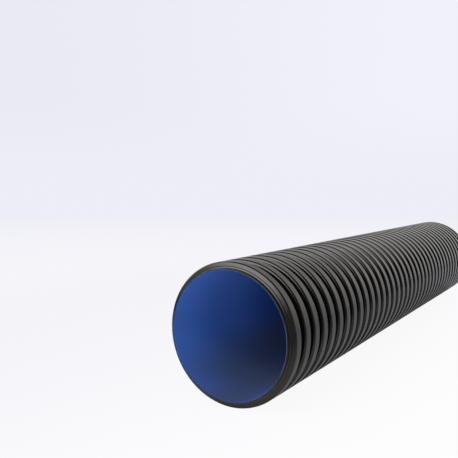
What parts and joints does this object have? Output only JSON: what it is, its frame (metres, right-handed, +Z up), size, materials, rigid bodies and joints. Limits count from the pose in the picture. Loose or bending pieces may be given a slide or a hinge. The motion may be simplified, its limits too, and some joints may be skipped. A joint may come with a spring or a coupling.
{
  "type": "corrugated plastic drainage pipe",
  "caption": "Twin-wall drainage pipe: a smooth bore inside a ribbed outer skin, with both ends cut square in a valley.",
  "frame": {"origin": "on the floor under the middle of the pipe's length, below the lowest line of the ribs", "axes": "+Y along the pipe's axis, +Z up, +X across; the pipe lies on its ribs with its two cut ends facing -Y and +Y"},
  "size_m": [0.5598, 3, 0.5598],
  "materials": {
    "black_skin": "satin moulded polyethylene, carbon black",
    "blue_liner": "smooth extruded polyethylene, deep blue"
  },
  "bodies": {
    "root": {"corrugated_skin": "black_skin", "inner_liner": "blue_liner"}
  },
  "joints": []
}
